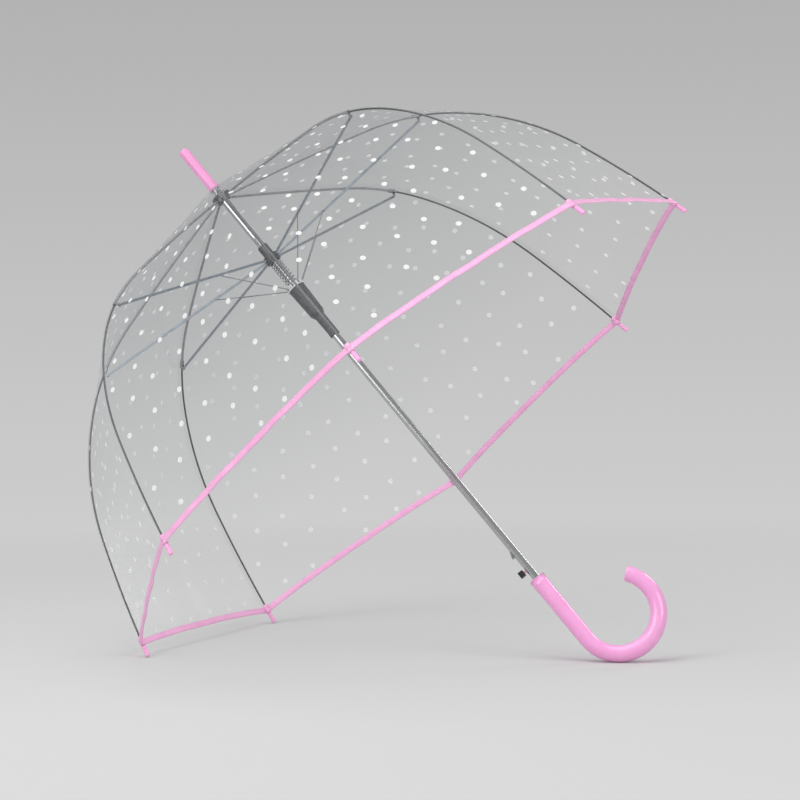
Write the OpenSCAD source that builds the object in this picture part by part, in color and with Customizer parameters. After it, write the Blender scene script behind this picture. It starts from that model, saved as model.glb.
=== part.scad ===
/* [Canopy] */
// Radius of the circle through the rib ends
rim_r = 440; // [400:1:480]
// Height of the rim above the origin, which is on the shaft's axis in the grip
rim_z = 305; // [280:1:330]
// Distance from a rib's centre line out to the film
film_gap = 3.2; // [2.8:0.1:5]
// Thickness of the film solid
film_t = 1; // [0.6:0.1:2]

/* [Ribs] */
// Slope of a rib where it leaves the crown, in degrees
rib_slope = 13.7; // [12:0.1:15]
// Length of the nearly straight inner run
inner_run = 200; // [180:1:220]
// Length of the bent run from there to the elbow
elbow_run = 70; // [60:1:80]
// Diameter of the inner rod
rod_d = 3.4; // [3:0.1:3.6]
// Diameter of the outer rod
outer_d = 2.5; // [2:0.1:2.6]
// Length of the peg that stands out past the hem
peg_len = 16; // [10:1:20]
// Diameter of the peg
peg_d = 5.6; // [4.5:0.1:7]

/* [Linkage] */
// Height of the hinges on the runner, canopy open
runner_z = 593; // [590:1:596]
// Height of the hinges on the sleeve's collar, canopy open
collar_z = 544; // [542:1:546]
// Distance of the stretcher's pivot below the rib
ear_drop = 6; // [5:0.5:8]
// Distance from the runner hinge to the tie's hole
tie_at = 82; // [78:1:86]
// Sideways step of a stretcher at its outer end
stretcher_lane = 3.9; // [3.7:0.1:4.5]
// Sideways step of a tie wire
tie_lane = -1.5; // [-1.8:0.1:-1.4]

/* [Shaft] */
// Outside diameter of the shaft
shaft_d = 10; // [9:0.5:10]
// Wall of the shaft tube
shaft_wall = 0.8; // [0.6:0.1:1.2]
// Length of the ferrule
ferrule_len = 70; // [60:1:80]
// Diameter of the ferrule
ferrule_d = 13.6; // [12:0.1:16]

/* [Handle] */
// Diameter of the handle
handle_d = 22; // [20:0.5:24]
// Height of the handle's top above the origin
handle_top = 47; // [40:1:52]
// Length of the straight part of the handle
grip_len = 98.6; // [90:0.1:110]
// Radius of the crook's centre line
crook_r = 50; // [46:0.5:54]

/* [Hidden] */
$fn = 64;
ribs = 8;
step = 360 / ribs;
half = step / 2;
rod_trim = 0.1;
bead = 0.3;

// Rib outline: each run is its length and the angle it turns through
hinge_r = 7.5;
inner_runs = [[inner_run, 3.5], [elbow_run, 14.4]];
outer_runs = [[52, 10.7], [168, 28.4], [148, 5.4]];
all_runs = concat(inner_runs, outer_runs);

function run_radius(run) = run[0] * 180 / (PI * run[1]);
function run_point(p, a, run, part) =
    let (r = run_radius(run), b = a + run[1] * part)
    [p[0] + r * (sin(b) - sin(a)), p[1] - r * (cos(a) - cos(b))];
function slope_at(a, runs, n) = n == 0 ? a : slope_at(a + runs[0][1], [for (i = [1 : 1 : len(runs) - 1]) runs[i]], n - 1);
function point_at(p, a, runs, n) =
    n == 0 ? p : point_at(run_point(p, a, runs[0], 1), a + runs[0][1], [for (i = [1 : 1 : len(runs) - 1]) runs[i]], n - 1);

// The crown hinge lies where the chain of runs ends at the rim
reach = point_at([0, 0], rib_slope, all_runs, len(all_runs));
crown_z = rim_z - reach[1];
start = [hinge_r, crown_z];
elbow = point_at(start, rib_slope, inner_runs, 2);
elbow_slope = slope_at(rib_slope, inner_runs, 2);
rib_end = point_at(start, rib_slope, all_runs, 5);
end_slope = slope_at(rib_slope, all_runs, 5);
ear = [elbow[0] - ear_drop * sin(elbow_slope), elbow[1] - ear_drop * cos(elbow_slope)];

// Linkage sizes that follow from the open frame
runner_r = 9;
collar_r = 11;
blade_t = 1.4;
wire_d = 1.2;
ring_bore = 1.36;
pin_d = 1.4;
pin_bore = 1.5;
stretcher_len = norm([ear[0] - runner_r, ear[1] - runner_z]);
stretcher_tilt = atan2(ear[1] - runner_z, ear[0] - runner_r);
tie_top = [runner_r + tie_at * cos(stretcher_tilt), runner_z + tie_at * sin(stretcher_tilt)];
tie_len = norm([tie_top[0] - collar_r, tie_top[1] - collar_z]);
tie_tilt = atan2(tie_top[1] - collar_z, tie_top[0] - collar_r);
skew = atan2(stretcher_lane, stretcher_len);

// Shaft fittings
shaft_r = shaft_d / 2;
slide_r = shaft_r + 0.15;
crown_r = 9.6;
cap_z = crown_z + 5;
ferrule_z = crown_z + 16;
sleeve_top = collar_z - 3.5;
sleeve_len = 81.5;
spring_seat = sleeve_top - 40.5;
runner_foot = runner_z - 5;
window_z = 472.5;
button_z = 64;
catch_z = 86;
handle_r = handle_d / 2;
bend_z = handle_top - grip_len;
crook_turn = 172;
lip_turn = 45;
lip_r = 54;

// Turns a child built in the XZ plane to spoke k
module spoke(k) {
    rotate([0, 0, (k - 1) * step])
        children();
}

// Repeats a child once for each spoke
module around() {
    for (k = [1 : ribs])
        spoke(k)
            children();
}

// A pin or disc across the XZ plane, from y0 to y1, at point p
module cross_pin(p, d, y0, y1) {
    translate([p[0], y1, p[1]])
        rotate([90, 0, 0])
            cylinder(d = d, h = y1 - y0);
}

// A round rod bent along one run, a hair short of each end
module bent_rod(p, a, run, d) {
    r = run_radius(run);
    trim = rod_trim * 180 / (PI * r);
    translate([p[0] - r * sin(a), 0, p[1] - r * cos(a)])
        rotate([90, 0, 0])
            rotate([0, 0, 90 - a - run[1] + trim])
                rotate_extrude(angle = run[1] - 2 * trim, $fn = ceil(8 * 360 / run[1]))
                    translate([r, 0])
                        circle(d = d, $fn = 40);
}

// A rod bent along several runs, with a bead where two runs meet
module rod_chain(p, a, runs, d) {
    for (i = [0 : len(runs) - 1])
        bent_rod(point_at(p, a, runs, i), slope_at(a, runs, i), runs[i], d);
    for (i = [1 : 1 : len(runs) - 1]) {
        q = point_at(p, a, runs, i);
        translate([q[0], 0, q[1]])
            sphere(d = d + bead, $fn = 40);
    }
}

// Places a child at p with its X axis along a rib that slopes down by a
module along(p, a) {
    translate([p[0], 0, p[1]])
        rotate([0, a, 0])
            children();
}

module shaft() {
    color("silver")
        difference() {
            union() {
                translate([0, 0, handle_top - 90])
                    cylinder(r = shaft_r, h = ferrule_z + 40 - handle_top + 90);
                translate([0, 0, runner_z + 21.3])
                    cylinder(r = shaft_r + 0.9, h = 1.6);
            }
            translate([0, 0, handle_top - 91])
                cylinder(r = shaft_r - shaft_wall, h = ferrule_z + 42 - handle_top + 91);
            // Slots for the catch and for the button's stem
            translate([-1.6, -shaft_r - 2, catch_z - 1])
                cube([3.2, 4, 14]);
            translate([-1.6, -shaft_r - 2, button_z - 2.2])
                cube([3.2, 4, 4.4]);
        }
}

module ferrule() {
    color("pink")
        difference() {
            rotate_extrude()
                polygon([[0, ferrule_z], [ferrule_d / 2 - 0.6, ferrule_z], [ferrule_d / 2, ferrule_z + 0.6],
                         [ferrule_d / 2, ferrule_z + ferrule_len - 1.2],
                         [ferrule_d / 2 - 1.2, ferrule_z + ferrule_len], [0, ferrule_z + ferrule_len]]);
            translate([0, 0, ferrule_z - 1])
                cylinder(r = shaft_r, h = 41);
        }
}

// Notched hub that the ribs hinge in, with a cap over the film's centre
module crown() {
    color("dimgray")
        difference() {
            union() {
                translate([0, 0, crown_z - 4])
                    cylinder(r = crown_r, h = cap_z - crown_z + 3.5);
                translate([0, 0, cap_z - 1])
                    cylinder(r = 13, h = 1.6);
            }
            translate([0, 0, crown_z - 5])
                cylinder(r = shaft_r, h = 14);
            around()
                translate([shaft_r + 0.4, -1.1, crown_z - 5])
                    cube([10, 2.2, 7.6]);
            translate([0, 0, crown_z])
                rotate_extrude()
                    translate([hinge_r, 0])
                        circle(d = ring_bore, $fn = 32);
        }
}

module hinge_ring(r, z) {
    translate([0, 0, z])
        rotate_extrude()
            translate([r, 0])
                circle(d = wire_d, $fn = 32);
}

module crown_wire() {
    color("gray")
        hinge_ring(hinge_r, crown_z);
}

// One arc of the crook, r from its own centre, in the YZ plane, a hair short of each end
module crook_arc(centre, r, from, turn) {
    trim = rod_trim * 180 / (PI * r);
    translate([0, centre[0], centre[1]])
        rotate([90, 0, 90])
            rotate([0, 0, from + trim])
                rotate_extrude(angle = turn - 2 * trim, $fn = 96)
                    translate([r, 0])
                        circle(r = handle_r);
}

module handle() {
    lip = 180 + crook_turn;
    lip_start = [crook_r + crook_r * cos(lip), bend_z + crook_r * sin(lip)];
    lip_centre = [lip_start[0] - lip_r * cos(lip), lip_start[1] - lip_r * sin(lip)];
    color("pink")
        difference() {
            union() {
                translate([0, 0, bend_z])
                    cylinder(r = handle_r, h = grip_len - 1);
                translate([0, 0, handle_top - 1])
                    cylinder(r1 = handle_r, r2 = handle_r - 1, h = 1);
                crook_arc([crook_r, bend_z], crook_r, 180, crook_turn);
                crook_arc(lip_centre, lip_r, lip, lip_turn);
                for (q = [[0, bend_z], lip_start])
                    translate([0, q[0], q[1]])
                        sphere(d = handle_d + bead);
            }
            translate([0, 0, handle_top - 90])
                cylinder(r = shaft_r, h = 100);
        }
}

module release_button() {
    color("black")
        union() {
            translate([-3.6, -15.2, button_z - 4])
                cube([7.2, 7.4, 8]);
            translate([-1.3, -8, button_z - 1.6])
                cube([2.6, 4.1, 3.2]);
        }
}

// Ramped catch on the end of a flat spring inside the shaft
module catch() {
    color("silver")
        union() {
            rotate([90, 0, 90])
                translate([0, 0, -1.2])
                    linear_extrude(height = 2.4)
                        polygon([[-3.5, catch_z], [-8.4, catch_z], [-8.4, catch_z + 1.4],
                                 [-4.8, catch_z + 11.5], [-3.5, catch_z + 11.5]]);
            translate([-1.4, -3.85, button_z - 3])
                cube([2.8, 0.5, 60]);
        }
}

// Upper slider: a hub with a slot for each stretcher, and a neck
module runner() {
    color("dimgray")
        difference() {
            union() {
                translate([0, 0, runner_foot])
                    cylinder(r = runner_r + 1.2, h = 9.6);
                translate([0, 0, runner_z + 4])
                    cylinder(r = 7, h = 17);
            }
            translate([0, 0, runner_foot - 1])
                cylinder(r = slide_r, h = 30);
            around()
                translate([7.1, -1, runner_z - 2.6])
                    cube([10, 2, 20]);
            translate([0, 0, runner_z])
                rotate_extrude()
                    translate([runner_r, 0])
                        circle(d = ring_bore, $fn = 32);
        }
}

module runner_wire() {
    color("gray")
        hinge_ring(runner_r, runner_z);
}

// Lower slider, which holds the spring and is caught at the handle
module sleeve() {
    foot = sleeve_top - sleeve_len;
    color("dimgray")
        difference() {
            rotate_extrude()
                polygon([[0, foot], [6.3, foot], [6.7, foot + 0.6], [6.9, spring_seat - 9], [10, spring_seat - 2],
                         [11.4, sleeve_top], [0, sleeve_top]]);
            translate([0, 0, foot - 1])
                cylinder(r = slide_r, h = sleeve_len + 2);
            translate([0, 0, spring_seat])
                cylinder(r = 8.9, h = 50);
            // Window for the catch
            translate([-1.8, -12, window_z - 7])
                cube([3.6, 12, 14]);
        }
}

// Ring on the sleeve, slotted for the eight tie wires
module collar() {
    color("lightgray")
        difference() {
            translate([0, 0, sleeve_top])
                cylinder(r = 12.4, h = 6.5);
            translate([0, 0, sleeve_top - 1])
                cylinder(r = 8.9, h = 9);
            around()
                translate([9.5, tie_lane - 1.1, sleeve_top + 1.9])
                    cube([5, 2.2, 6]);
        }
}

// Points of one ring of the spring's wire, at turn angle a
coil_r = 7.7;
coil_wire = 1.2;
coil_turns = 18;
coil_steps = 12;
coil_sides = 6;
function coil_ring(a, z) = [for (j = [0 : coil_sides - 1])
    let (b = j * 360 / coil_sides, r = coil_r + coil_wire / 2 * cos(b))
    [r * cos(a), r * sin(a), z + coil_wire / 2 * sin(b)]];

module opening_spring() {
    rings = coil_turns * coil_steps;
    z0 = spring_seat + coil_wire / 2 + 0.05;
    rise = (runner_foot - spring_seat - coil_wire - 0.1) / rings;
    points = [for (i = [0 : rings]) each coil_ring(i * 360 / coil_steps, z0 + i * rise)];
    sides = [for (i = [0 : rings - 1], j = [0 : coil_sides - 1])
        let (k = (j + 1) % coil_sides, m = i * coil_sides)
        [m + j, m + coil_sides + j, m + coil_sides + k, m + k]];
    last = rings * coil_sides;
    caps = [[for (j = [0 : coil_sides - 1]) j], [for (j = [coil_sides - 1 : -1 : 0]) last + j]];
    color("gray")
        polyhedron(points = points, faces = concat(sides, caps), convexity = 10);
}

// The part of a run from fraction f0 to f1, as the start point, start slope and run
function run_part(p, a, run, f0, f1) =
    [run_point(p, a, run, f0), a + run[1] * f0, [run[0] * (f1 - f0), run[1] * (f1 - f0)]];

// Inner rib: blade in the crown, rod, and the elbow's two cheeks and ear
module rib() {
    blade_len = 10;
    fork = 2.6;
    head = run_part(start, rib_slope, inner_runs[0], (blade_len - 1) / inner_run, 1);
    tail = run_part(point_at(start, rib_slope, inner_runs, 1), rib_slope + inner_runs[0][1], inner_runs[1],
                    0, 1 - fork / elbow_run);
    color("dimgray")
        difference() {
            union() {
                cross_pin(start, 3.4, -0.8, 0.8);
                along(start, rib_slope)
                    translate([0, -0.8, -1.5])
                        cube([blade_len, 1.6, 3]);
                rod_chain(head[0], head[1], [head[2], tail[2]], rod_d);
                for (y = [-2.1, 1.4]) {
                    cross_pin(elbow, 4.8, y, y + 0.7);
                    along(elbow, elbow_slope)
                        translate([-9, y, -1.6])
                            cube([9, 0.7, 3.2]);
                }
                cross_pin(elbow, 1.1, -2, 2);
                // Ear and pivot pin for the stretcher
                along(elbow, elbow_slope)
                    translate([-1.8, 1.4, -ear_drop])
                        cube([3.6, 0.7, ear_drop]);
                cross_pin(ear, 3.6, 1.4, stretcher_lane - blade_t / 2 - 0.15);
                cross_pin(ear, pin_d, 1.5, stretcher_lane + blade_t / 2 + 0.2);
                cross_pin(ear, 2.6, stretcher_lane + blade_t / 2 + 0.15, stretcher_lane + blade_t / 2 + 0.7);
            }
            cross_pin(start, ring_bore, -2, 2);
        }
}

// Outer rib: knuckle at the elbow and the rod down to the rim
module rib_end() {
    color("dimgray")
        difference() {
            union() {
                cross_pin(elbow, 3.6, -1.32, 1.32);
                rod_chain(elbow, elbow_slope, outer_runs, outer_d);
            }
            cross_pin(elbow, 1.24, -3, 3);
        }
}

// Peg pushed onto the rib's end, where the hem is sewn to it
module tip() {
    color("pink")
        along(rib_end, end_slope)
            rotate([0, 90, 0])
                difference() {
                    union() {
                        translate([0, 0, -9])
                            cylinder(d = 4.1, h = 12);
                        translate([0, 0, 1.5])
                            cylinder(d = peg_d, h = peg_len - 2.5);
                        translate([0, 0, peg_len - 1])
                            cylinder(d1 = peg_d, d2 = peg_d - 2, h = 1);
                    }
                    translate([0, 0, -10])
                        cylinder(d = outer_d + 0.1, h = 10);
                }
}

// Strut from the runner to the rib's ear, with a hole for the tie wire
module stretcher() {
    thin = 3;
    color("slategray")
        difference() {
            union() {
                cross_pin([runner_r, runner_z], 3.4, -0.7, 0.7);
                cross_pin(ear, 3.6, stretcher_lane - blade_t / 2, stretcher_lane + blade_t / 2);
                translate([runner_r, 0, runner_z])
                    rotate([0, -stretcher_tilt, 0])
                        rotate([0, 0, skew])
                            translate([0, -blade_t / 2, -thin / 2])
                                cube([stretcher_len / cos(skew), blade_t, thin]);
            }
            cross_pin([runner_r, runner_z], ring_bore, -2, 2);
            cross_pin(ear, pin_bore, stretcher_lane - 2, stretcher_lane + 2);
            cross_pin(tie_top, wire_d + 0.12, -2, 5);
        }
}

// Thin wire from the collar to the stretcher
module tie() {
    color("silver")
        union() {
            cross_pin([collar_r, collar_z], 1.8, tie_lane - wire_d / 2, tie_lane + wire_d / 2);
            translate([collar_r, tie_lane, collar_z])
                rotate([0, 90 - tie_tilt, 0])
                    cylinder(d = wire_d, h = tie_len, $fn = 32);
            cross_pin(tie_top, wire_d, tie_lane - wire_d / 2, 2.6, $fn = 32);
        }
}

// Film profile, seen along a gore: the rib's outline moved out by off
function film_line(off, p, a, runs) =
    len(runs) == 0 ? [] :
    let (run = runs[0], n = max(3, ceil(run[1] / 2.5)))
    concat(
        [for (i = [0 : n - 1])
            let (q = run_point(p, a, run, i / n), b = a + run[1] * i / n)
            [(q[0] + off * sin(b)) * cos(half), q[1] + off * cos(b)]],
        film_line(off, run_point(p, a, run, 1), a + run[1], [for (i = [1 : 1 : len(runs) - 1]) runs[i]])
    );
function film_foot(off) = [[(rib_end[0] + off * sin(end_slope)) * cos(half), rib_end[1] + off * cos(end_slope)]];
function reversed(list) = [for (i = [len(list) - 1 : -1 : 0]) list[i]];

// The film on both sides of one rib, out to the middle of each gore
module film() {
    inside = concat(film_line(film_gap, start, rib_slope, all_runs), film_foot(film_gap));
    outside = concat(film_line(film_gap + film_t, start, rib_slope, all_runs), film_foot(film_gap + film_t));
    mid_gap = 0.15;
    far = rim_r * 1.2;
    color("lightcyan", 0.4)
        for (side = [0, 1])
            mirror([0, side, 0])
                intersection() {
                    rotate([0, 0, half])
                        rotate([90, 0, 0])
                            linear_extrude(height = far)
                                polygon(concat(outside, reversed(inside)));
                    translate([0, 0, rim_z - 50])
                        linear_extrude(height = 600)
                            polygon([[10.5, 0], [far, 0],
                                     [far, far * tan(half) - mid_gap], [10.5, 10.5 * tan(half) - mid_gap]]);
                }
}

shaft();
ferrule();
crown();
crown_wire();
handle();
release_button();
catch();
runner();
runner_wire();
sleeve();
collar();
opening_spring();
for (k = [1 : ribs]) {
    spoke(k) rib();
    spoke(k) rib_end();
    spoke(k) tip();
    spoke(k) stretcher();
    spoke(k) tie();
    spoke(k) film();
}
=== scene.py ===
import math
import random

import bpy
from mathutils import Matrix, Vector


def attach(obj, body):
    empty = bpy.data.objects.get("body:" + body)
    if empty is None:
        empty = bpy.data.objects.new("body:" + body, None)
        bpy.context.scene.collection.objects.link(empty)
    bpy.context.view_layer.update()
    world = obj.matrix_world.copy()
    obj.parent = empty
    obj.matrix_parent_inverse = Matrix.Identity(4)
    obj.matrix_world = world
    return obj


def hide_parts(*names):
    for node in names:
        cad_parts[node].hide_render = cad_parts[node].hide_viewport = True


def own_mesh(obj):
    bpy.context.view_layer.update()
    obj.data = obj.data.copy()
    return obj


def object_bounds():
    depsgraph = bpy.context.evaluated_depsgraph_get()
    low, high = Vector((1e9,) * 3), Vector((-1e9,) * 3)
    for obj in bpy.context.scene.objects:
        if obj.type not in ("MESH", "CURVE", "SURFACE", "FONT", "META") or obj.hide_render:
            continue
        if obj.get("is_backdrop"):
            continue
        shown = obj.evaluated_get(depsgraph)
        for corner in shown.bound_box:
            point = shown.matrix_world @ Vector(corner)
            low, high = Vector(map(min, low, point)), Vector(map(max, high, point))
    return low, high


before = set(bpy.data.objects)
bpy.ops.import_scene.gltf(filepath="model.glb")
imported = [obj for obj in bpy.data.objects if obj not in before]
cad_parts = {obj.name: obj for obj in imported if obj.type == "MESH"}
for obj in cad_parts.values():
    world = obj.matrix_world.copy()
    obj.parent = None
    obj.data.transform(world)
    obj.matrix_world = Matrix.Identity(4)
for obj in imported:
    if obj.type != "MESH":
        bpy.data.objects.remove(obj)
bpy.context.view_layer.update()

MM = 0.001
RIBS = 8
HALF = math.radians(180 / RIBS)

# ---------------------------------------------------------------- sizes, in mm, as in the CAD
HINGE = (7.5, 698.7675)          # rib's hinge on the crown: radius, height
RIB_SLOPE = 13.7                 # degrees
RUNS = [(200, 3.5), (70, 14.4), (52, 10.7), (168, 28.4), (148, 5.4)]   # length, turn
S_ELBOW, S_END = 270.0, 638.0    # along the rib
FILM_OFF = 2.7                   # film above the rib's centre line
HEM_WIDTH, HEM_BOW = 7.6, 5.0
HOLLOW, RIPPLE, HEM_WAVE = 2.2, 0.5, 0.6    # how far the film leaves the flat between two ribs
DOT_R, DOT_DX, DOT_DS, DOT_JITTER = 3.55, 33.0, 29.0, 6.0
DOT_SIDES, DOT_LIFT = 16, 0.25   # the dots lie just outside the film
DOT_SPREAD = 0.45                # share by which the dots are further apart at the hem than at the crown

# ---------------------------------------------------------------- camera, from the fit to the photo
CAM_AT = Vector((3.7570218, -0.0215666, -0.6273749))
CAM_RIGHT = Vector((-0.1523623, 0.7709346, -0.6184219))
CAM_UP = Vector((0.197012, 0.6368607, 0.7453823))
CAM_BACK = Vector((0.9684895, -0.0082684, -0.248917))
CAM_LENS = 136.978
# The umbrella lies on two rib tips and the crook, so the floor is tilted in its frame
FLOOR_N = Vector((0.25895673, 0.62517686, 0.73627122))
FLOOR_D = -0.065627


# ---------------------------------------------------------------- materials
NOISE_DETAIL = 3.0
GRAIN_SCALE, GRAIN_DEPTH = 900.0, 0.0002         # fine grain of a moulded or painted surface, depth in m
COAT_ROUGHNESS = 0.12
COLOUR_A, COLOUR_B, MIXED_COLOUR = 6, 7, 2       # a Mix node's sockets when it mixes colours
HAZE_WHITE, HAZE_ROUGHNESS = (0.86, 0.88, 0.9, 1), 0.45
CLEAR_BELOW, GREY_ABOVE = 0.40, 0.70             # heights in m between which painted shade greys the film towards the crown
FILM_ROUGHNESS = 0.24
STITCH = dict(gap=0.0004, length=0.0034, row=0.0024, strength=0.16)    # in m, and how dark


def new_material(name):
    """An empty material, its node tree and its output."""
    m = bpy.data.materials.new(name)
    m.use_nodes = True
    nt = m.node_tree
    nt.nodes.clear()
    out = nt.nodes.new("ShaderNodeOutputMaterial")
    return m, nt, out


def noise(nt, scale):
    """Noise over the surface, from about 0.3 to 0.7, with scale features a metre."""
    tc = nt.nodes.new("ShaderNodeTexCoord")
    n = nt.nodes.new("ShaderNodeTexNoise")
    n.inputs["Scale"].default_value = scale
    n.inputs["Detail"].default_value = NOISE_DETAIL
    nt.links.new(tc.outputs["Object"], n.inputs["Vector"])
    return n.outputs["Fac"]


def spread(nt, value, low, high, from_low=0.3, from_high=0.7):
    """The value, mapped from its own range to low and high, and held there beyond it."""
    r = nt.nodes.new("ShaderNodeMapRange")
    r.inputs["From Min"].default_value = from_low
    r.inputs["From Max"].default_value = from_high
    r.inputs["To Min"].default_value = low
    r.inputs["To Max"].default_value = high
    nt.links.new(value, r.inputs["Value"])
    return r.outputs["Result"]


def mix_colour(nt, fac, a, b):
    """Colour a where fac is 0, b where it is 1."""
    m = nt.nodes.new("ShaderNodeMix")
    m.data_type = "RGBA"
    m.inputs[COLOUR_A].default_value = (*a, 1)
    m.inputs[COLOUR_B].default_value = (*b, 1)
    nt.links.new(fac, m.inputs[0])
    return m.outputs[MIXED_COLOUR]


def solid(name, dark, light, rough, metal=0.0, scale=120.0, bump=0.0, coat=0.0):
    """A solid finish: colour and roughness wander a little, with a fine grain."""
    m, nt, out = new_material(name)
    p = nt.nodes.new("ShaderNodeBsdfPrincipled")
    f = noise(nt, scale)
    nt.links.new(mix_colour(nt, spread(nt, f, 0, 1), dark, light), p.inputs["Base Color"])
    nt.links.new(spread(nt, f, rough[0], rough[1]), p.inputs["Roughness"])
    p.inputs["Metallic"].default_value = metal
    p.inputs["Coat Weight"].default_value = coat
    p.inputs["Coat Roughness"].default_value = COAT_ROUGHNESS
    if bump:
        b = nt.nodes.new("ShaderNodeBump")
        b.inputs["Strength"].default_value = bump
        b.inputs["Distance"].default_value = GRAIN_DEPTH
        nt.links.new(noise(nt, GRAIN_SCALE), b.inputs["Height"])
        nt.links.new(b.outputs["Normal"], p.inputs["Normal"])
    nt.links.new(p.outputs["BSDF"], out.inputs["Surface"])
    return m


def see_through(name, haze_low, haze_high, edge, tint, crown_painted_shade, ior, gloss_share):
    """Clear film: mostly what is behind it, with painted shade that greys it towards the crown, and a little
    haze and gloss.
    """
    m, nt, out = new_material(name)
    clear = nt.nodes.new("ShaderNodeBsdfTransparent")
    tc = nt.nodes.new("ShaderNodeTexCoord")
    xyz = nt.nodes.new("ShaderNodeSeparateXYZ")
    nt.links.new(tc.outputs["Object"], xyz.inputs[0])
    # Painted shade: the film's tint darkens with height towards the crown
    height = spread(nt, xyz.outputs["Z"], 0, 1, CLEAR_BELOW, GREY_ABOVE)
    nt.links.new(mix_colour(nt, height, tint, crown_painted_shade), clear.inputs["Color"])
    haze = nt.nodes.new("ShaderNodeBsdfPrincipled")
    haze.inputs["Base Color"].default_value = HAZE_WHITE
    haze.inputs["Roughness"].default_value = HAZE_ROUGHNESS
    facing = nt.nodes.new("ShaderNodeLayerWeight")
    facing.inputs["Blend"].default_value = 0.35
    curve = nt.nodes.new("ShaderNodeMath")
    curve.operation = "POWER"
    curve.inputs[1].default_value = 4.0
    nt.links.new(facing.outputs["Facing"], curve.inputs[0])
    grow = nt.nodes.new("ShaderNodeMath")
    grow.operation = "MULTIPLY_ADD"
    grow.inputs[1].default_value = edge
    nt.links.new(curve.outputs[0], grow.inputs[0])
    nt.links.new(spread(nt, noise(nt, 14.0), haze_low, haze_high), grow.inputs[2])
    body = nt.nodes.new("ShaderNodeMixShader")
    nt.links.new(grow.outputs[0], body.inputs[0])
    nt.links.new(clear.outputs[0], body.inputs[1])
    nt.links.new(haze.outputs[0], body.inputs[2])
    gloss = nt.nodes.new("ShaderNodeBsdfGlossy")
    gloss.inputs["Color"].default_value = (1, 1, 1, 1)
    gloss.inputs["Roughness"].default_value = FILM_ROUGHNESS
    fresnel = nt.nodes.new("ShaderNodeFresnel")
    fresnel.inputs["IOR"].default_value = ior
    part = nt.nodes.new("ShaderNodeMath")
    part.operation = "MULTIPLY"
    part.inputs[1].default_value = gloss_share
    nt.links.new(fresnel.outputs[0], part.inputs[0])
    top = nt.nodes.new("ShaderNodeMixShader")
    nt.links.new(part.outputs[0], top.inputs[0])
    nt.links.new(body.outputs[0], top.inputs[1])
    nt.links.new(gloss.outputs[0], top.inputs[2])
    nt.links.new(top.outputs[0], out.inputs["Surface"])
    return m


def stitched(name, dark, light):
    """The hem's tape, with a row of stitches along it. UV is in metres, along and across."""
    m, nt, out = new_material(name)
    p = nt.nodes.new("ShaderNodeBsdfPrincipled")
    uv = nt.nodes.new("ShaderNodeTexCoord")
    brick = nt.nodes.new("ShaderNodeTexBrick")
    brick.inputs["Color1"].default_value = (1, 1, 1, 1)
    brick.inputs["Color2"].default_value = (1, 1, 1, 1)
    brick.inputs["Mortar"].default_value = (0, 0, 0, 1)
    brick.inputs["Scale"].default_value = 1.0
    brick.inputs["Mortar Size"].default_value = STITCH["gap"]
    brick.inputs["Brick Width"].default_value = STITCH["length"]
    brick.inputs["Row Height"].default_value = STITCH["row"]
    nt.links.new(uv.outputs["UV"], brick.inputs["Vector"])
    base = mix_colour(nt, spread(nt, noise(nt, 60.0), 0, 1), dark, light)
    shade = nt.nodes.new("ShaderNodeMix")
    shade.data_type = "RGBA"
    shade.blend_type = "MULTIPLY"
    shade.inputs[0].default_value = STITCH["strength"]
    nt.links.new(base, shade.inputs[COLOUR_A])
    nt.links.new(brick.outputs["Color"], shade.inputs[COLOUR_B])
    nt.links.new(shade.outputs[MIXED_COLOUR], p.inputs["Base Color"])
    nt.links.new(spread(nt, noise(nt, 300.0), 0.35, 0.5), p.inputs["Roughness"])
    nt.links.new(p.outputs["BSDF"], out.inputs["Surface"])
    return m


def print_ink(name, dark, light, through):
    """The printed dots: white ink that lets some light through, and is a little clearer from inside."""
    m, nt, out = new_material(name)
    p = nt.nodes.new("ShaderNodeBsdfPrincipled")
    f = noise(nt, 300.0)
    nt.links.new(mix_colour(nt, spread(nt, f, 0, 1), dark, light), p.inputs["Base Color"])
    nt.links.new(spread(nt, f, 0.4, 0.55), p.inputs["Roughness"])
    clear = nt.nodes.new("ShaderNodeBsdfTransparent")
    geo = nt.nodes.new("ShaderNodeNewGeometry")
    mix = nt.nodes.new("ShaderNodeMixShader")
    nt.links.new(spread(nt, geo.outputs["Backfacing"], 0.02, through, 0, 1), mix.inputs[0])
    glow = nt.nodes.new("ShaderNodeBsdfTranslucent")
    glow.inputs["Color"].default_value = (*light, 1)
    both = nt.nodes.new("ShaderNodeMixShader")
    both.inputs[0].default_value = 0.5
    nt.links.new(p.outputs[0], both.inputs[1])
    nt.links.new(glow.outputs[0], both.inputs[2])
    nt.links.new(both.outputs[0], mix.inputs[1])
    nt.links.new(clear.outputs[0], mix.inputs[2])
    nt.links.new(mix.outputs[0], out.inputs["Surface"])
    return m


def two_tone(name, head, neck, split_y):
    """The button: its head one colour, its neck, past split_y towards the shaft, another."""
    m, nt, out = new_material(name)
    p = nt.nodes.new("ShaderNodeBsdfPrincipled")
    tc = nt.nodes.new("ShaderNodeTexCoord")
    xyz = nt.nodes.new("ShaderNodeSeparateXYZ")
    nt.links.new(tc.outputs["Object"], xyz.inputs[0])
    side = spread(nt, xyz.outputs["Y"], 0, 1, split_y - 0.0001, split_y + 0.0001)
    nt.links.new(mix_colour(nt, side, head, neck), p.inputs["Base Color"])
    nt.links.new(spread(nt, noise(nt, 400.0), 0.35, 0.5), p.inputs["Roughness"])
    nt.links.new(p.outputs["BSDF"], out.inputs["Surface"])
    return m


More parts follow.
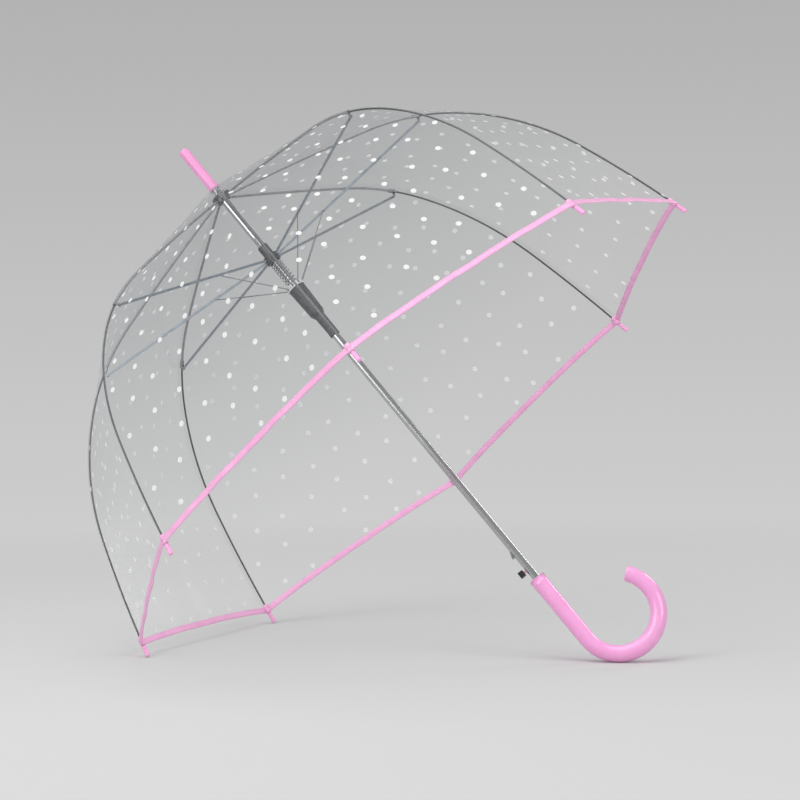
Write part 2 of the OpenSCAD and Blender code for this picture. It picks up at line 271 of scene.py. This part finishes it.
PINK = solid("pink_gloss", (0.88, 0.36, 0.68), (0.92, 0.41, 0.73), (0.18, 0.26), coat=0.4, scale=40,
             bump=0.05)
PINK_CAP = solid("pink_cap", (0.76, 0.29, 0.56), (0.80, 0.33, 0.60), (0.25, 0.35), scale=40, bump=0.05)
PINK_TIP = solid("pink_tip", (0.88, 0.36, 0.66), (0.92, 0.41, 0.70), (0.25, 0.35), scale=200, bump=0.05)
HEM = stitched("hem_tape", (0.88, 0.40, 0.68), (0.93, 0.47, 0.74))
CHROME = solid("chrome", (0.48, 0.485, 0.49), (0.53, 0.535, 0.54), (0.18, 0.21), metal=1.0, scale=30)
WIRE = solid("zinc_wire", (0.30, 0.31, 0.33), (0.42, 0.43, 0.45), (0.28, 0.40), metal=1.0, scale=300)
TIE = solid("tie_wire", (0.20, 0.205, 0.215), (0.28, 0.285, 0.295), (0.35, 0.45), metal=0.5, scale=300)
RIB_IN = solid("inner_rib_paint", (0.25, 0.255, 0.265), (0.33, 0.335, 0.345), (0.35, 0.48),
               metal=0.4, scale=200, bump=0.1, coat=0.6)
RIB_OUT = solid("outer_rib_paint", (0.040, 0.042, 0.046), (0.065, 0.067, 0.071), (0.28, 0.4),
                scale=200, bump=0.1, coat=0.9)
STRETCH = solid("stretcher_steel", (0.23, 0.26, 0.29), (0.31, 0.345, 0.38), (0.30, 0.42), metal=0.5,
                scale=150)
DARK = solid("dark_plastic", (0.070, 0.071, 0.076), (0.105, 0.106, 0.112), (0.38, 0.5), scale=250, bump=0.12)
HUB = solid("hub_plastic", (0.17, 0.172, 0.178), (0.23, 0.232, 0.238), (0.38, 0.5), scale=250, bump=0.12)
GREY = solid("grey_plastic", (0.50, 0.51, 0.52), (0.60, 0.61, 0.62), (0.38, 0.5), scale=250, bump=0.12)
BUTTON = two_tone("button_black", (0.012, 0.009, 0.010), (0.60, 0.36, 0.46), -0.0078)
# The second tint of each film is painted shade at the crown
FILM = see_through("clear_film", 0.003, 0.008, 0.07, (0.995, 0.997, 0.998), (0.85, 0.86, 0.865),
                   1.25, 0.10)
SEAM = see_through("film_seam", 0.02, 0.05, 0.15, (0.95, 0.955, 0.96), (0.85, 0.86, 0.865), 1.3, 0.15)
DOT = print_ink("white_print", (0.94, 0.94, 0.94), (0.98, 0.98, 0.98), 0.04)

# CAD nodes that stay, each with its material and a slot name
CAD_LOOKS = {"shaft": (CHROME, "chrome_shaft"), "ferrule": (PINK_CAP, "pink_plastic"),
             "crown": (HUB, "dark_plastic"), "crown_wire": (WIRE, "zinc_wire"),
             "release_button": (BUTTON, "black_plastic"), "catch": (TIE, "zinc_wire"),
             "runner": (DARK, "dark_plastic"), "runner_wire": (WIRE, "zinc_wire"),
             "sleeve": (DARK, "dark_plastic"), "collar": (GREY, "grey_plastic")}
for k in range(1, RIBS + 1):
    CAD_LOOKS.update({f"rib_{k}": (RIB_IN, "dark_metal"), f"rib_end_{k}": (RIB_OUT, "dark_metal"),
                      f"tip_{k}": (PINK_TIP, "pink_plastic"), f"stretcher_{k}": (STRETCH, "stretcher_steel"),
                      f"tie_{k}": (TIE, "zinc_wire")})
for name, (look, slot) in CAD_LOOKS.items():
    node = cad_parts[name]
    node.data.materials.clear()
    node.data.materials.append(look)


# ---------------------------------------------------------------- mesh helpers
def make(name, points, faces, looks, face_looks=None, uvs=None):
    """A smooth-shaded mesh from points in mm, in the CAD frame, with one uv a point where there are any."""
    me = bpy.data.meshes.new(name)
    me.from_pydata([tuple(c * MM for c in p) for p in points], [], faces)
    for look in looks:
        me.materials.append(look)
    for i, poly in enumerate(me.polygons):
        poly.use_smooth = True
        if face_looks:
            poly.material_index = face_looks[i]
    if uvs:
        layer = me.uv_layers.new(name="UVMap")
        for loop in me.loops:
            layer.data[loop.index].uv = uvs[loop.vertex_index]
    me.update()
    ob = bpy.data.objects.new(name, me)
    bpy.context.scene.collection.objects.link(ob)
    return ob


def lathe_rings(rings, closed_ends=True):
    """Points and faces of a skin over equal rings of points, one after another."""
    n = len(rings[0])
    points = [p for ring in rings for p in ring]
    faces = [(i * n + j, i * n + (j + 1) % n, (i + 1) * n + (j + 1) % n, (i + 1) * n + j)
             for i in range(len(rings) - 1) for j in range(n)]
    if closed_ends:
        faces += [tuple(range(n - 1, -1, -1)), tuple(range((len(rings) - 1) * n, len(rings) * n))]
    return points, faces


def rib_line(s):
    """Radius, height and slope of the rib's centre line at s mm from the crown hinge."""
    r, z, a = HINGE[0], HINGE[1], math.radians(RIB_SLOPE)
    for i, (length, turn) in enumerate(RUNS):
        turn = math.radians(turn)
        radius = length / turn
        step = s if i == len(RUNS) - 1 else min(s, length)
        b = a + step / radius
        r, z, a = r + radius * (math.sin(b) - math.sin(a)), z - radius * (math.cos(a) - math.cos(b)), b
        s -= step
        if s <= 0:
            break
    return r, z, a


def film_point(gore, u, s, lift=0.0):
    """A point on the film: gore 0 to 7, u from -1 at its first rib to 1 at its second, s along the ribs,
    lift outwards."""
    r, z, a = rib_line(s)
    r, z = r + FILM_OFF * math.sin(a), z + FILM_OFF * math.cos(a)
    nm, nz = math.sin(a), math.cos(HALF) * math.cos(a)
    size = math.hypot(nm, nz)
    nm, nz = nm / size, nz / size
    half = r * math.sin(HALF)
    x = u * half
    slack = 1 - u * u
    # Hollow in mid-gore, faint ripples all over and a slow wave near the hem, in another phase on each gore
    sag = HOLLOW * math.sin(math.pi * min(1, s / S_END)) * slack
    sag += RIPPLE * slack * math.sin(x / 8.3 + 1.7 * gore) * math.sin(s / 31 + 0.9 * gore)
    sag += HEM_WAVE * slack * (s / S_END) ** 8 * math.sin(x / 15 + 2.1 * gore)
    out = lift - sag
    phi = (gore + 0.5) * 2 * HALF
    m = r * math.cos(HALF) + out * nm
    return Vector((m * math.cos(phi) - x * math.sin(phi), m * math.sin(phi) + x * math.cos(phi),
                   z + out * nz))


def half_width(s):
    """Half the width of a gore at s, in mm."""
    r, _, a = rib_line(s)
    return (r + FILM_OFF * math.sin(a)) * math.sin(HALF)


def hem_s(u):
    """Where the film ends: bowed towards the crown between the tips."""
    return S_END - HEM_BOW * (1 - abs(u) ** 2.6)


# ---------------------------------------------------------------- canopy
FILM_START_R = 10.5              # mm from the axis, where the film starts
S_START = next(s / 10 for s in range(0, 200)
               if rib_line(s / 10)[0] + FILM_OFF * math.sin(rib_line(s / 10)[2]) >= FILM_START_R)


def gore_dots(gore):
    """Centres of the white dots on one gore, as (x, s) in mm, kept clear of the seams and of the hem."""
    rng = random.Random(41 + gore)
    found = []
    row, s = 0, 26.0
    while s < S_END - 16:
        grow = 1 + DOT_SPREAD * s / S_END
        step = DOT_DX * grow
        shift = (row % 2) * step / 2 + rng.uniform(-2, 2)
        x = -7 * step + shift
        while x < 7 * step:
            dx, ds = x + rng.uniform(-DOT_JITTER, DOT_JITTER), s + rng.uniform(-DOT_JITTER, DOT_JITTER)
            w = half_width(ds)
            edge = hem_s(dx / w) if abs(dx) < w else 0
            if abs(dx) < w - 8.5 and ds < edge - HEM_WIDTH - 5:
                if abs(dx) < DOT_R + 1:
                    dx = math.copysign(DOT_R + 1, dx)
                if abs(ds - S_ELBOW) < DOT_R + 1:
                    ds = S_ELBOW + math.copysign(DOT_R + 1, ds - S_ELBOW)
                found.append((dx, ds))
            x += step
        s += DOT_DS * grow
        row += 1
    return found


DOTS = [gore_dots(g) for g in range(RIBS)]
COLUMNS = 9                      # of faces across a wing, the first of them the welded seam
UPPER_ROWS, LOWER_ROWS = 44, 60
SEAM_WIDTH = 2.2


def wing(k, side, lower):
    """The film from rib k to the middle of the gore on one side of it, above or below the elbow."""
    gore = (k - 1 if side > 0 else k - 2) % RIBS
    rows = LOWER_ROWS if lower else UPPER_ROWS

    def place(t, v):
        """u and s at share t of the way from the rib to mid-gore, and share v from the top."""
        u = -side * (1 - t)
        s0, s1 = (S_ELBOW, hem_s(u)) if lower else (S_START, S_ELBOW)
        return u, s0 + (s1 - s0) * v

    points, faces, looks = [], [], []          # looks: 0 film, 1 dot, 2 seam
    for i in range(rows + 1):
        v = i / rows
        w = half_width(place(0, v)[1])
        seam = min(0.3, SEAM_WIDTH / w)
        for j in range(COLUMNS + 1):
            t = 0 if j == 0 else seam + (1 - seam) * (j - 1) / (COLUMNS - 1)
            points.append(film_point(gore, *place(t, v)))
    for i in range(rows):
        for j in range(COLUMNS):
            a = i * (COLUMNS + 1) + j
            quad = (a, a + 1, a + COLUMNS + 2, a + COLUMNS + 1)
            faces.append(quad[::-1] if side > 0 else quad)
            looks.append(2 if j == 0 else 0)
    for dx, ds in DOTS[gore]:
        if (dx * side < 0) and (ds > S_ELBOW) == lower:
            first = len(points)
            points.append(film_point(gore, dx / half_width(ds), ds, DOT_LIFT))
            for n in range(DOT_SIDES):
                b = math.tau * n / DOT_SIDES
                s = ds + DOT_R * math.cos(b)
                points.append(film_point(gore, (dx + DOT_R * math.sin(b)) / half_width(s), s, DOT_LIFT))
            for n in range(DOT_SIDES):
                faces.append((first, first + 1 + n, first + 1 + (n + 1) % DOT_SIDES))
                looks.append(1)
    name = f"canopy_{k}_{'lower' if lower else 'upper'}_{'b' if side > 0 else 'a'}"
    return make(name, points, faces, [FILM, DOT, SEAM], looks), gore


def fold_with(ob, k, side, lower):
    """The piece rides its rib and gets its own mesh; the plane it lies in is worked out, but nothing uses it.
    """
    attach(ob, f"rib_end_{k}" if lower else f"rib_{k}")
    phi = (k - 1) * 2 * HALF
    mid = phi + side * HALF
    across = Vector((-math.sin(mid), math.cos(mid), 0)) * side
    (r0, z0, _), (r1, z1, _) = (rib_line(s) for s in ((S_ELBOW, S_END) if lower else (0, S_ELBOW)))
    along = Vector(((r1 - r0) * math.cos(phi), (r1 - r0) * math.sin(phi), z1 - z0)).normalized()
    n = (across - along * across.dot(along)).normalized()
    anchor = Vector(((r0 + r1) / 2 * math.cos(phi), (r0 + r1) / 2 * math.sin(phi), (z0 + z1) / 2)) * MM
    bulge = rib_line((S_ELBOW + S_END) / 2 if lower else S_ELBOW / 2)
    top = Vector((bulge[0] * math.cos(phi), bulge[0] * math.sin(phi), bulge[1])) * MM
    anchor += n * (top - anchor).dot(n) * 0.5
    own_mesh(ob)


# Hem tape, folded round the film's edge: (along the rib from the edge, outwards)
TAPE = [(-HEM_WIDTH, 0.45), (-0.4, 0.5), (0.35, 0.2), (0.35, -0.2), (-0.4, -0.5), (-HEM_WIDTH, -0.45)]
TAPE_STEPS = 32
# Sewn pocket: (along the rib from its end, growth), with its half width and half height
POCKET = ((-11.5, 0.0), (-11.2, 0.5), (-6, 0.9), (-1, 0.5), (0.9, 0.2), (0.9, -0.4), (-11.5, -0.4))
POCKET_WIDE, POCKET_HIGH, POCKET_SIDES = 3.4, 2.7, 20

for k in range(1, RIBS + 1):
    for side in (1, -1):
        for lower in (False, True):
            ob, gore = wing(k, side, lower)
            fold_with(ob, k, side, lower)
            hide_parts(f"film_{k}")
            if lower:
                rings, uvs, run = [], [], 0.0
                for i in range(TAPE_STEPS + 1):
                    u = -side * (1 - i / TAPE_STEPS)
                    s = hem_s(u)
                    ring = [film_point(gore, u, s + ds, lift) for ds, lift in TAPE]
                    if rings:
                        run += (ring[1] - rings[-1][1]).length * MM
                    rings.append(ring)
                    uvs += [(run, (ds + HEM_WIDTH) * MM) for ds, _ in TAPE]
                points, faces = lathe_rings(rings, closed_ends=False)
                hem = make(f"hem_{k}_{'b' if side > 0 else 'a'}", points, faces, [HEM], uvs=uvs)
                fold_with(hem, k, side, True)
    # Sewn pocket that holds the rib's end in the hem
    phi = (k - 1) * 2 * HALF
    rings = []
    for s, grow in POCKET:
        r, z, a = rib_line(S_END + s)
        ring = []
        for n in range(POCKET_SIDES):
            b = math.tau * n / POCKET_SIDES
            x, o = (POCKET_WIDE + grow) * math.cos(b), (POCKET_HIGH + grow) * math.sin(b)
            rr, zz = r + o * math.sin(a), z + o * math.cos(a)
            ring.append(Vector((rr * math.cos(phi) - x * math.sin(phi),
                                rr * math.sin(phi) + x * math.cos(phi), zz)))
        rings.append(ring)
    rings.append(rings[0])
    points, faces = lathe_rings(rings, closed_ends=False)
    uvs = [(0.004 * (i % POCKET_SIDES) / 5, 0.001 * i / POCKET_SIDES) for i in range(len(points))]
    pocket = make(f"hem_pocket_{k}", points, faces, [HEM], uvs=uvs)
    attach(pocket, f"rib_end_{k}")

# ---------------------------------------------------------------- opening spring
SPRING = dict(seat=500.0, foot=588.0, r=7.7, wire=0.6, turns=18, steps=24, inset=0.7, sides=8)
END_COILS = 0.035                # how far the coils shift towards the spring's ends, as a share of its length
rings = []
count = SPRING["turns"] * SPRING["steps"]
for i in range(count + 1):
    a = math.tau * i / SPRING["steps"]
    low, high = SPRING["seat"] + SPRING["inset"], SPRING["foot"] - SPRING["inset"]
    # The coils lie a little closer together at the ends
    f = i / count
    z = low + (high - low) * (f + END_COILS * math.sin(math.tau * (f - 0.5)))
    rings.append([Vector(((SPRING["r"] + SPRING["wire"] * math.cos(b)) * math.cos(a),
                          (SPRING["r"] + SPRING["wire"] * math.cos(b)) * math.sin(a),
                          z + SPRING["wire"] * math.sin(b)))
                  for b in (math.tau * j / SPRING["sides"] for j in range(SPRING["sides"]))])
points, faces = lathe_rings(rings)
spring = make("spring_wire", points, faces, [WIRE])
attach(spring, "sleeve")
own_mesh(spring)
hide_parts("opening_spring")

# ---------------------------------------------------------------- handle
GRIP_TOP, BEND_Z = 47.0, -51.6
CROOK_R, CROOK_TURN, LIP_R, LIP_TURN = 50.0, 172.0, 54.0, 45.0
GRIP_STEPS, CROOK_STEPS, LIP_STEPS, GRIP_SIDES = 12, 60, 14, 40
GRIP_R, BEND_SWELL, LIP_THIN, MOUTH_FLARE = 10.3, 0.6, 0.3, 0.7     # mm


def handle_path():
    """(y, z, direction from the local centre in degrees) along the handle, in mm."""
    found = [(0.0, GRIP_TOP - (GRIP_TOP - BEND_Z) * i / GRIP_STEPS, 180.0) for i in range(GRIP_STEPS)]
    for i in range(CROOK_STEPS + 1):
        d = 180 + CROOK_TURN * i / CROOK_STEPS
        found.append((CROOK_R * (1 + math.cos(math.radians(d))),
                      BEND_Z + CROOK_R * math.sin(math.radians(d)), d))
    y, z, d0 = found[-1]
    cy, cz = y - LIP_R * math.cos(math.radians(d0)), z - LIP_R * math.sin(math.radians(d0))
    for i in range(1, LIP_STEPS + 1):
        d = d0 + LIP_TURN * i / LIP_STEPS
        found.append((cy + LIP_R * math.cos(math.radians(d)), cz + LIP_R * math.sin(math.radians(d)), d))
    return found


path = handle_path()
rings = []
for i, (y, z, d) in enumerate(path):
    f = i / (len(path) - 1)
    # A little thicker along the bend, thinner at the lip, and flared at the mouth
    swell = math.sin(math.pi * min(1, max(0, (f - 0.12) / 0.82))) ** 2
    radius = GRIP_R + BEND_SWELL * swell - LIP_THIN * max(0, f - 0.85) / 0.15
    radius += MOUTH_FLARE * math.exp(-(GRIP_TOP - z) / 7) if f < 0.2 else 0
    radii = [radius]
    shifts = [0.0]
    # Rounded edges at both ends
    if i == 0:
        radii, shifts = [9.6, 10.3, 10.8, 11], [0.0, -0.12, -0.5, -1.1]
    if i == len(path) - 1:
        radii, shifts = [10.0, 9.75, 9.2, 8.2], [-1.4, -0.6, -0.2, 0.0]
    for rad, shift in zip(radii, shifts):
        dy, dz = math.cos(math.radians(d)), math.sin(math.radians(d))
        ty, tz = -dz, dy
        rings.append([Vector((rad * math.sin(b), y + ty * shift + rad * math.cos(b) * dy,
                              z + tz * shift + rad * math.cos(b) * dz))
                      for b in (math.tau * j / GRIP_SIDES for j in range(GRIP_SIDES))])
points, faces = lathe_rings(rings)
grip = make("crook_handle", points, faces, [PINK])
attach(grip, "frame")
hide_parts("handle")

# ---------------------------------------------------------------- stage
FLOOR_GREY = (0.585, 0.585, 0.585, 1)
FLOOR_HALF = 4.5                 # half the floor's side, in m
FADE_NEAR, FADE_FAR = 0.5, 1.75  # distances in m between which the floor fades into the world
# The world's grey by the sine of the angle above the floor
WORLD_LOW, WORLD_HIGH = (-0.20, (0.705, 0.705, 0.705)), (0.07, (0.447, 0.447, 0.447))

# Floor: plain grey, clear from below and far away
m, nt, out = new_material("floor_grey")
ground = nt.nodes.new("ShaderNodeBsdfDiffuse")
ground.inputs["Color"].default_value = FLOOR_GREY
clear = nt.nodes.new("ShaderNodeBsdfTransparent")
tc = nt.nodes.new("ShaderNodeTexCoord")
length = nt.nodes.new("ShaderNodeVectorMath")
length.operation = "LENGTH"
nt.links.new(tc.outputs["Object"], length.inputs[0])
fade = spread(nt, length.outputs["Value"], 1, 0, FADE_NEAR, FADE_FAR)
geo = nt.nodes.new("ShaderNodeNewGeometry")
front = nt.nodes.new("ShaderNodeMath")
front.operation = "SUBTRACT"
front.inputs[0].default_value = 1.0
front.use_clamp = True
nt.links.new(geo.outputs["Backfacing"], front.inputs[1])
share = nt.nodes.new("ShaderNodeMath")
share.operation = "MULTIPLY"
nt.links.new(fade, share.inputs[0])
nt.links.new(front.outputs[0], share.inputs[1])
mixer = nt.nodes.new("ShaderNodeMixShader")
nt.links.new(share.outputs[0], mixer.inputs[0])
nt.links.new(clear.outputs[0], mixer.inputs[1])
nt.links.new(ground.outputs[0], mixer.inputs[2])
nt.links.new(mixer.outputs[0], out.inputs["Surface"])
me = bpy.data.meshes.new("floor")
corners = [(x * FLOOR_HALF, y * FLOOR_HALF, 0) for x, y in ((-1, -1), (1, -1), (1, 1), (-1, 1))]
me.from_pydata(corners, [], [(0, 1, 2, 3)])
me.materials.append(m)
floor = bpy.data.objects.new("floor", me)
bpy.context.scene.collection.objects.link(floor)
foot = Vector((0, -0.1, 0.1))
floor.location = foot - FLOOR_N * (foot.dot(FLOOR_N) - FLOOR_D)
floor.rotation_mode = "QUATERNION"
floor.rotation_quaternion = FLOOR_N.to_track_quat("Z", "Y")
floor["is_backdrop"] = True

world = bpy.data.worlds.new("studio")
bpy.context.scene.world = world
world.use_nodes = True
nt = world.node_tree
nt.nodes.clear()
tc = nt.nodes.new("ShaderNodeTexCoord")
dot = nt.nodes.new("ShaderNodeVectorMath")
dot.operation = "DOT_PRODUCT"
dot.inputs[1].default_value = FLOOR_N
nt.links.new(tc.outputs["Generated"], dot.inputs[0])
height = spread(nt, dot.outputs["Value"], 0, 1, WORLD_LOW[0], WORLD_HIGH[0])
grey = mix_colour(nt, height, WORLD_LOW[1], WORLD_HIGH[1])
back = nt.nodes.new("ShaderNodeBackground")
nt.links.new(grey, back.inputs["Color"])
end = nt.nodes.new("ShaderNodeOutputWorld")
nt.links.new(back.outputs[0], end.inputs["Surface"])

LIT_CENTRE = Vector((0, 0, 0.35))


def lamp(name, toward, distance, size, power):
    """A square softbox of size m and power W, distance m from the umbrella. toward is its direction, as
    shares of the photo's right, the floor's up and towards the camera."""
    way = (CAM_RIGHT * toward[0] + FLOOR_N * toward[1] + CAM_BACK * toward[2]).normalized()
    data = bpy.data.lights.new(name, "AREA")
    data.energy, data.shape, data.size = power, "SQUARE", size
    ob = bpy.data.objects.new(name, data)
    bpy.context.scene.collection.objects.link(ob)
    ob.location = LIT_CENTRE + way * distance
    ob.rotation_mode = "QUATERNION"
    ob.rotation_quaternion = way.to_track_quat("Z", "Y")


lamp("softbox_top", (-0.25, 1.0, 0.15), 2.6, 2.4, 42)
lamp("softbox_left", (-1.0, 0.55, 0.9), 3.0, 1.8, 34)
lamp("softbox_right", (1.0, 0.45, 0.9), 3.2, 1.6, 29)
lamp("strip_right", (1.0, 0.75, -0.75), 2.2, 0.5, 5)

cam = bpy.data.objects.new("camera", bpy.data.cameras.new("camera"))
bpy.context.scene.collection.objects.link(cam)
cam.matrix_world = Matrix(((CAM_RIGHT.x, CAM_UP.x, CAM_BACK.x, CAM_AT.x),
                           (CAM_RIGHT.y, CAM_UP.y, CAM_BACK.y, CAM_AT.y),
                           (CAM_RIGHT.z, CAM_UP.z, CAM_BACK.z, CAM_AT.z),
                           (0, 0, 0, 1)))
cam.data.lens, cam.data.sensor_width = CAM_LENS, 36.0
cam.data.clip_start, cam.data.clip_end = 0.05, 60.0
# The default transform dulls the pink
bpy.context.scene.view_settings.view_transform = "Standard"
bpy.context.scene.camera = cam

low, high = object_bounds()
